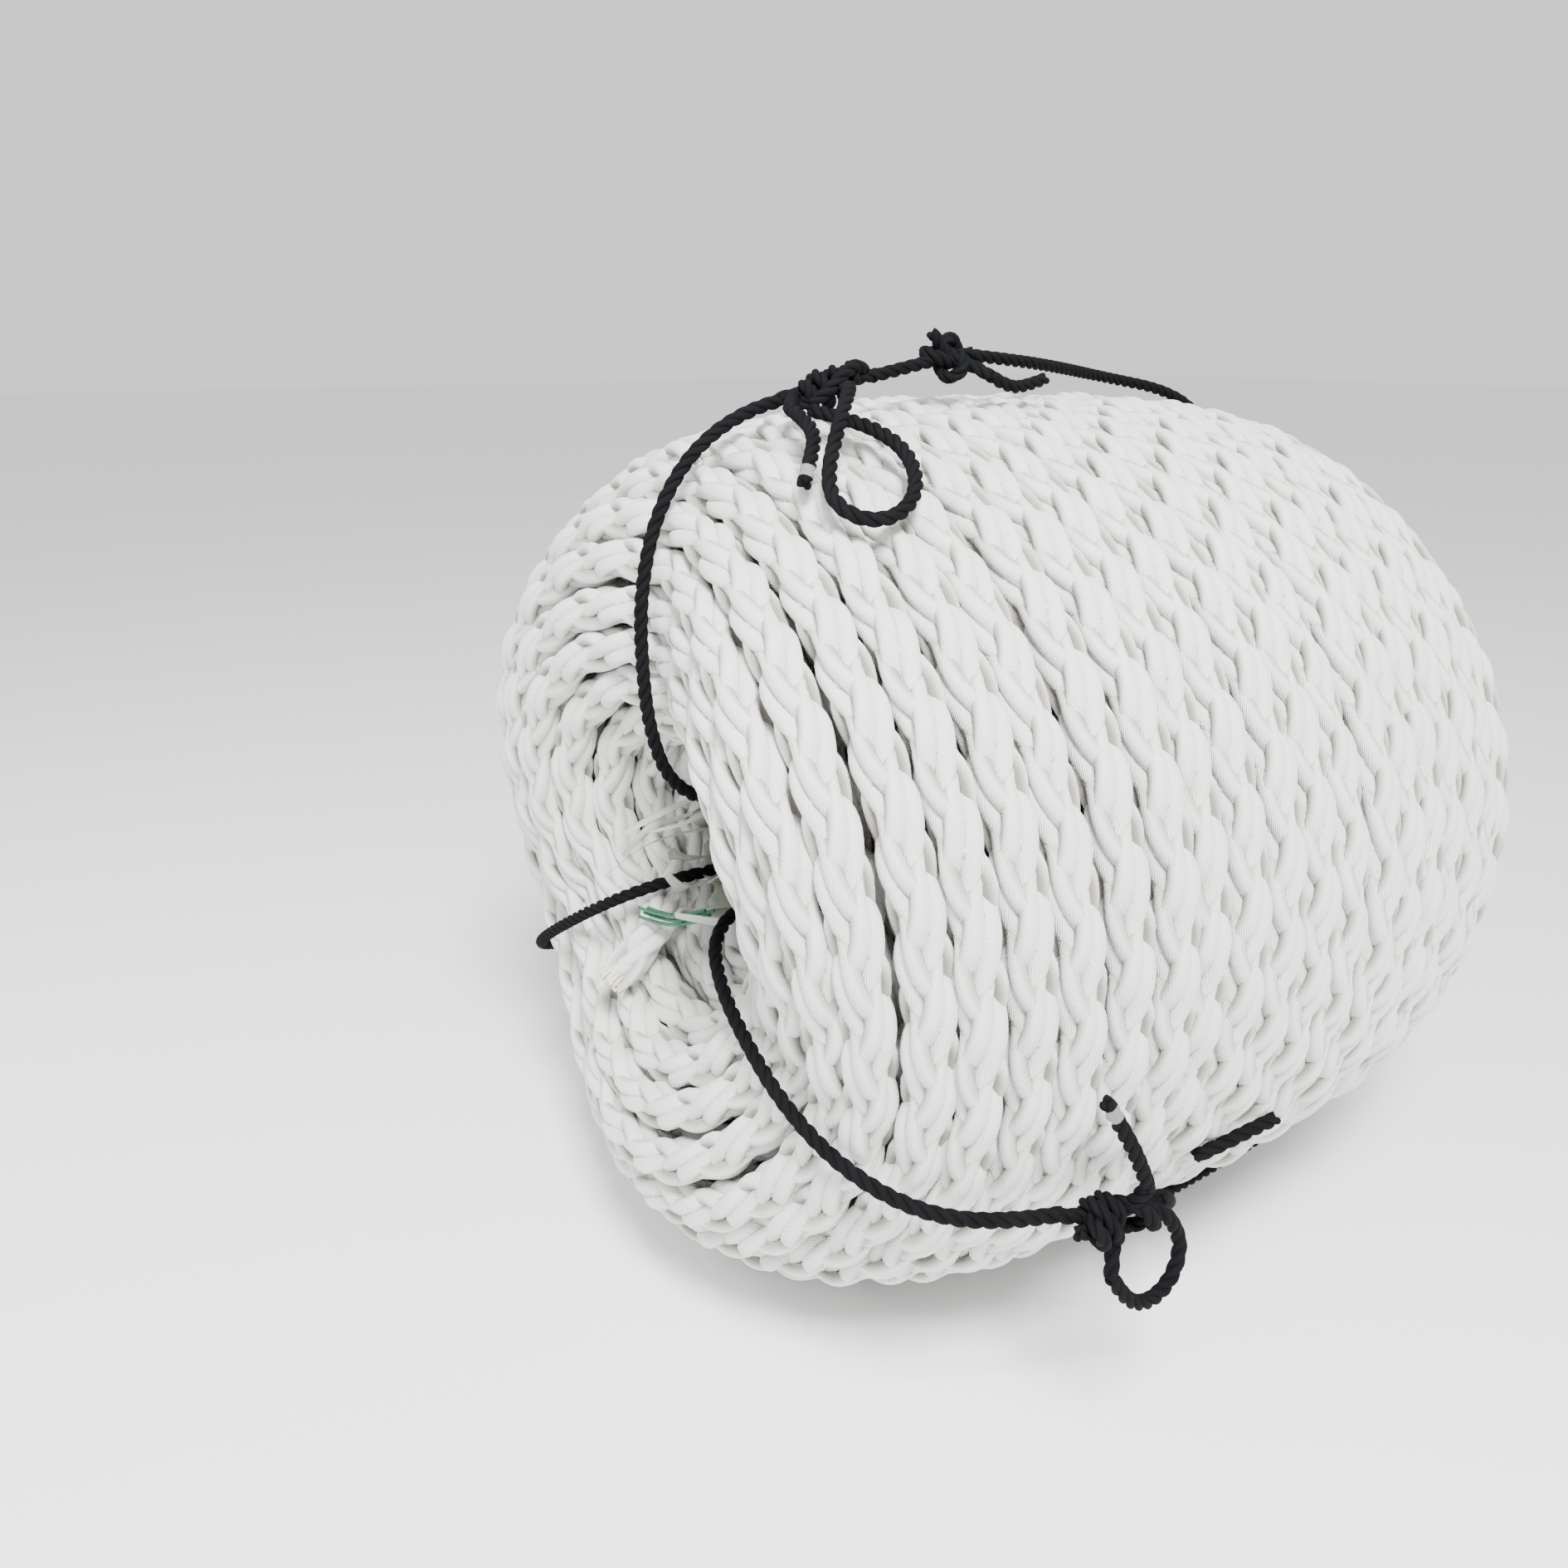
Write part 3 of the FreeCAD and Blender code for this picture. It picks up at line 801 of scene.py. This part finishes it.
def build_ties(material, tape):
    """The three ties with their slip loops and tails."""
    routes = {
        "tie_top": tie_route("top", [(-0.351, 0.549)],
                             [(0.250, 0.564), (0.090, 0.578), (-0.020, 0.590), (-0.084, 0.596)]),
        "tie_top_slip_loop": metres([
            (-288, -88, 1094), (-312, -126, 1100), (-344, -164, 1086), (-380, -198, 1054),
            (-410, -228, 1022), (-424, -256, 997), (-410, -284, 981), (-378, -296, 982),
            (-346, -286, 999), (-326, -260, 1022), (-318, -226, 1043), (-322, -186, 1058),
            (-330, -142, 1067), (-338, -92, 1073)]),
        "tie_top_tail": metres([
            (-366, -90, 1076), (-374, -128, 1068), (-384, -166, 1054), (-408, -196, 1034),
            (-434, -222, 1011)]),
        "tie_top_joining_tail": metres([
            (-86, -92, 1106), (-58, -92, 1092), (-22, -84, 1092), (14, -78, 1100)]),
        "tie_front": tie_route("front", [(-0.325, 0.558)],
                               [(0.250, 0.560), (0.0, 0.562), (-0.130, 0.574), (-0.212, 0.584)]),
        "tie_front_slip_loop": metres([
            (-292, -556, 266), (-280, -560, 244), (-258, -560, 222), (-226, -556, 212),
            (-196, -552, 222), (-182, -548, 250), (-192, -546, 278), (-211, -551, 299)]),
        "tie_front_tail": metres([
            (-262, -566, 362), (-280, -570, 396), (-302, -570, 434), (-330, -568, 478)]),
        "tie_front_second_tail": metres([
            (-86, -480, 280), (-62, -498, 298), (-30, -508, 310), (4, -512, 314)]),
        "tie_back": tie_route("back", [(-0.005, 0.574), (-0.120, 0.562), (-0.270, 0.560)],
                              [(0.270, 0.560), (0.180, 0.568), (0.125, 0.574)]),
        "tie_back_slip_loop": metres([
            (38, 506, 180), (26, 500, 150), (36, 486, 118), (64, 474, 98),
            (98, 476, 104), (116, 488, 130), (110, 500, 162), (96, 508, 186)]),
        "tie_back_tail": metres([
            (84, 534, 248), (96, 560, 276), (112, 576, 312), (124, 582, 352)]),
    }
    on_cord = build_knots(material)
    for node, points in routes.items():
        piece, centres = laid_piece(node + "_laid", [points], material)
        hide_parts(node)
        if node in ("tie_top_tail", "tie_front_tail", "tie_back_tail"):
            on_cord[node] = [tail_tape(node + "_tape", centres, tape)]


def tail_tape(node, centres, material):
    """The tape near a tail's cut end."""
    along = lengths_along(centres)
    wanted = along[-1] - np.linspace(TAIL_TAPE_LENGTH + TAIL_END_BARE, TAIL_END_BARE, 6)
    return tape_wrap(node, at_lengths(centres, along, wanted), TAIL_TAPE_RADIUS, 31, material)


# ---------------------------------------------------------------- knots
POINTS_PER_WRAP = 10
TUCKED_SHARE = 0.35                # how far off the middle line a wrap's tucked ends lie
TUCK_LENGTH = 3.0                  # millimetres along the knot
TUCK_TURN = 70.0                   # degrees round it
TREFOIL_POINTS = 30
TREFOIL_SIZE = 0.0090
TREFOIL_DEPTH = 0.0095


def in_knot(centre, heading, places):
    """Route points in a knot, from (along its middle line, angle round it, distance off it) in mm and
    degrees; the angle starts outwards from the coil's axis."""
    centre = np.array(centre)
    heading = unit(np.array(heading, float))
    outward = unit(centre * np.array([0.0, 1.0, 1.0]) - np.array([0.0, 0.0, AXIS_HEIGHT]))
    outward = unit(outward - heading * float(np.dot(outward, heading)))
    third = np.cross(heading, outward)
    points = []
    for along, angle, distance in places:
        turn = math.radians(angle)
        across = math.cos(turn) * outward + math.sin(turn) * third
        points.append(centre + 0.001 * along * heading + 0.001 * distance * across)
    return points


def wraps(low, high, turns, distance, tilt, start):
    """Places of a cord wound round a knot's middle line, its two ends tucked in under the winding."""
    count = int(turns * POINTS_PER_WRAP)
    tucked = TUCKED_SHARE * distance
    places = [(low + TUCK_LENGTH, start - TUCK_TURN, tucked)]
    for number in range(count + 1):
        share = number / count
        angle = start + 360.0 * turns * share
        along = low + (high - low) * share + tilt * math.sin(math.radians(angle))
        places.append((along, angle, distance))
    places.append((high - TUCK_LENGTH, start + 360.0 * turns + TUCK_TURN, tucked))
    return places


def trefoil(centre, heading):
    """A round knot's route: a small trefoil that faces up and outwards."""
    centre = np.array(centre)
    heading = unit(np.array(heading, float))
    facing = unit(np.array([-0.35, -0.72, 0.60]))
    facing = unit(facing - heading * float(np.dot(facing, heading)))
    side = np.cross(facing, heading)
    points = []
    for number in range(TREFOIL_POINTS + 1):
        turn = 2.0 * math.pi * number / TREFOIL_POINTS
        across = math.sin(turn) + 2.0 * math.sin(2.0 * turn)
        along = math.cos(turn) - 2.0 * math.cos(2.0 * turn)
        flat = TREFOIL_SIZE * (across * heading + along * side)
        points.append(centre + flat - TREFOIL_DEPTH * math.sin(3.0 * turn) * facing)
    return points


def build_knots(material):
    """The knots and the bridge between the top two, by the cord that each is on."""
    top = around(TIES["top"][0], -0.285, 0.562)
    joining = around(TIES["top"][0], -0.120, 0.594)
    front = around(TIES["front"][0], -0.270, 0.580)
    back = around(TIES["back"][0], 0.060, 0.578)
    rise = np.array(joining) - np.array(top)
    level = (1.0, 0.0, 0.0)
    slip = [[(-68, 0, 2), (-34, 40, 5), (0, 180, 5), (34, 300, 5), (66, 0, 1)],
            wraps(-36, 32, 3, 17.0, -5.0, 30.0),
            [(-50, 150, 9), (-38, 110, 20), (-14, 78, 25), (12, 46, 26), (36, 18, 21), (50, -20, 9)]]
    lower = [[(-55, 0, 2), (-20, 60, 6), (20, 200, 6), (53, 0, 1)],
             wraps(-38, -4, 2, 20.0, 8.0, -60.0),
             [(-4, -120, 12), (6, -80, 24), (18, -34, 27), (30, 8, 26), (40, 50, 17), (46, 90, 7)],
             [(2, 160, 10), (8, 110, 24), (20, 78, 28), (34, 60, 22), (42, 20, 10)]]
    stub = [(-4, 60, 4), (-14, 20, 20), (-22, 8, 34)]
    bridge = [np.array(top) + 0.060 * unit(rise), (np.array(top) + np.array(joining)) / 2.0,
              np.array(joining) - 0.022 * unit(rise)]
    knots = {
        "tie_top_slip_knot": ("tie_top", [in_knot(top, rise, places) for places in slip] + [
            metres([(-285, -49, 1094), (-284, -70, 1096), (-288, -89, 1094)]),
            metres([(-330, -45, 1088), (-352, -72, 1082), (-366, -91, 1076)])]),
        "tie_top_joining_knot": ("tie_top", [
            trefoil(joining, rise), in_knot(joining, rise, stub),
            metres([(-120, -52, 1127), (-100, -80, 1118), (-85, -92, 1105)]),
            metres([(-120, -52, 1127), (-100, -52, 1129), (-80, -52, 1131)])]),
        "tie_top_bridge": ("tie_top", [bridge]),
        "tie_front_slip_knot": ("tie_front", [in_knot(front, level, places) for places in lower] + [
            [around(TIES["front"][0], -0.332, 0.557), around(TIES["front"][0], -0.312, 0.566),
             around(TIES["front"][0], -0.285, 0.580)],
            metres([(-270, -538, 318), (-290, -552, 290), (-292, -556, 265)]),
            metres([(-211, -551, 298), (-226, -546, 314), (-250, -540, 320)]),
            metres([(-270, -538, 318), (-262, -556, 340), (-262, -566, 363)])]),
        "tie_back_slip_knot": ("tie_back", [in_knot(back, level, places) for places in slip] + [
            metres([(50, 485, 222), (42, 500, 202), (38, 506, 179)]),
            metres([(96, 508, 185), (92, 500, 206), (72, 486, 222)]),
            metres([(60, 485, 220), (76, 514, 232), (84, 534, 249)])]),
    }
    on_cord = {}
    for node, (cord, routes) in knots.items():
        piece, _ = laid_piece(node + "_wound", routes, material)
        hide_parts(node)
        on_cord.setdefault(cord, []).append(piece)
    return on_cord


# ---------------------------------------------------------------- in the hole
FILM_FIRST = -0.395
FILM_LAST = -0.045
FILM_RADIUS = 0.0855
FILM_THICKNESS = 0.0008
FILM_ROWS = 40
FILM_COLUMNS = 96
# Each torn strip's angle round the hole and how far it reaches out.
WISP_ROOTS = ((15.0, 0.110), (75.0, 0.060), (150.0, 0.080), (195.0, 0.070), (225.0, 0.060), (250.0, 0.055),
              (275.0, 0.140), (300.0, 0.115), (335.0, 0.130))


def build_hole():
    """The torn film that lines the hole, and the green twine at its mouth."""
    material = film_material()
    rng = np.random.default_rng(41)
    turn = np.linspace(0.0, 2.0 * math.pi, FILM_COLUMNS, endpoint=False)
    column = FILM_COLUMNS * turn / (2.0 * math.pi)
    x = np.linspace(FILM_FIRST, FILM_LAST, FILM_ROWS)
    torn = 0.012 * np.sin(3.0 * turn + 0.7) + 0.008 * np.sin(7.0 * turn)
    torn = torn + 0.005 * slow_noise(rng, column, 2.3)
    near_mouth = np.clip(1.0 - (x - FILM_FIRST) / 0.10, 0.0, 1.0) ** 2
    places = x[:, None] + near_mouth[:, None] * torn[None, :]
    folds = 0.0022 * np.sin(9.0 * turn)[None, :] * np.cos(26.0 * x)[:, None]
    folds = folds + 0.0014 * rng.uniform(-1.0, 1.0, (FILM_ROWS, FILM_COLUMNS))
    radius = FILM_RADIUS + folds - 0.010 * near_mouth[:, None] * np.abs(np.sin(2.0 * turn + 0.4))[None, :]
    grid = np.stack([places, -radius * np.sin(turn)[None, :],
                     AXIS_HEIGHT + radius * np.cos(turn)[None, :]], axis=-1)
    film = shell_object("core_film_torn", grid, FILM_THICKNESS, material)
    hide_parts("core_film")
    wisps = []
    for angle, reach in WISP_ROOTS:
        sway = rng.uniform(-1.0, 1.0, 3)
        points = [around(angle, FILM_FIRST + 0.020, 0.083),
                  around(angle + 5.0 * sway[0], FILM_FIRST - 0.3 * reach, 0.078),
                  around(angle + 14.0 * sway[1], FILM_FIRST - 0.7 * reach, 0.068),
                  around(angle + 24.0 * sway[2], FILM_FIRST - reach, 0.055)]
        line = spline_line(points, 8)
        across, out = straight_frame(line)
        share = np.linspace(0.0, 1.0, len(line))
        twist = (1.6 * share * sway[1])[:, None]
        turned = across * np.cos(twist) + out * np.sin(twist)
        wide = 0.016 * (1.0 - 0.7 * share)
        wisps.append(tube_arrays(line, turned, np.cross(unit(np.gradient(line, axis=0)), turned), wide,
                                 np.full(len(line), 0.0005), 8))
    torn_bits = mesh_object("core_film_wisps", wisps, material)
    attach(torn_bits, "root")
    route = metres([(-478, 68, 456), (-468, 36, 456), (-454, 2, 464), (-438, -30, 480)])
    twine, centres = laid_piece("core_twine_laid", [route], twine_material(), TWINE_DIAMETER)
    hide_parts("core_twine")
    beside = [[tuple(np.add(point, shift)) for point in route]
              for shift in ((-0.005, 0.004, -0.006), (0.002, -0.006, 0.008), (-0.006, 0.002, 0.007))]
    strands, _ = laid_piece("core_twine_strands", beside, twine_material(), TWINE_DIAMETER)


# ---------------------------------------------------------------- floor, light and camera
def build_studio():
    """A plain pale floor, a white world, two square light panels and the camera."""
    bpy.ops.mesh.primitive_plane_add(size=60.0, location=(0.0, 0.0, -0.001))
    floor = bpy.context.object
    floor.name = "studio_floor"
    material, _ = new_material("pale_floor", (0.93, 0.93, 0.93), 0.9)
    floor.data.materials.append(material)
    world = bpy.data.worlds.new("studio")
    world.use_nodes = True
    world.node_tree.nodes["Background"].inputs["Color"].default_value = (1.0, 1.0, 1.0, 1.0)
    world.node_tree.nodes["Background"].inputs["Strength"].default_value = 1.1
    bpy.context.scene.world = world
    for name, place, size, power in (
            ("key_panel", (-1.4, -2.4, 3.6), 1.0, 520.0),
            ("fill_panel", (-3.2, 0.6, 2.2), 2.4, 60.0)):
        light = bpy.data.lights.new(name, "AREA")
        light.shape = "SQUARE"
        light.size = size
        light.energy = power
        holder = bpy.data.objects.new(name, light)
        holder.location = place
        aim = Vector((0.0, 0.0, 0.5)) - Vector(place)
        holder.rotation_euler = aim.to_track_quat("-Z", "Y").to_euler()
        bpy.context.scene.collection.objects.link(holder)
    camera = bpy.data.cameras.new("camera")
    camera.lens = 30.33
    camera.sensor_width = 36.0
    camera.shift_x = 0.0036
    camera.shift_y = -0.06
    holder = bpy.data.objects.new("camera", camera)
    holder.location = (-1.153, -1.305, 1.152)
    holder.rotation_euler = (math.radians(74.96), 0.0, math.radians(-32.47))
    bpy.context.scene.collection.objects.link(holder)
    bpy.context.scene.camera = holder


build_studio()
clear_tape = tape_material()
build_rope(clear_tape)
build_ties(tie_material(), clear_tape)
build_hole()
